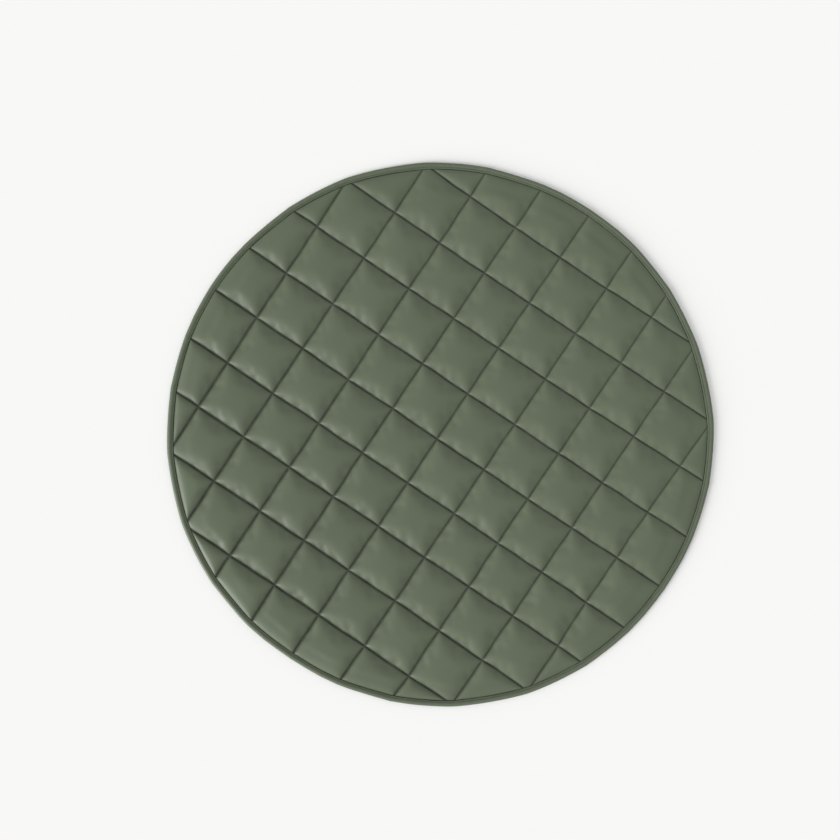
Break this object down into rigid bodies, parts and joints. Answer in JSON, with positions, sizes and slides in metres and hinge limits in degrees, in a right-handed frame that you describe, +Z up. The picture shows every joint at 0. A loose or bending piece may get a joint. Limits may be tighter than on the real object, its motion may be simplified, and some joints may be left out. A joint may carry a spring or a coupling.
{
  "type": "round quilted mat",
  "caption": "Round padded floor mat of smooth coated cloth, sewn through in crossing channels that leave soft square cushions, with a rolled binding round its edge.",
  "frame": {"origin": "middle of the underside, where the mat lies on the floor", "axes": "+X along the lengthwise seams, +Y along the crosswise seams, +Z up out of the padded face"},
  "size_m": [0.8933, 0.8838, 0.0098],
  "materials": {
    "pad_cloth": "smooth coated cloth with a fine grain, satin, sage green",
    "binding_cloth": "the same coated cloth, folded over the rim and top stitched"
  },
  "bodies": {
    "root": {"quilted_pad": "pad_cloth", "edge_binding": "binding_cloth"}
  },
  "joints": []
}
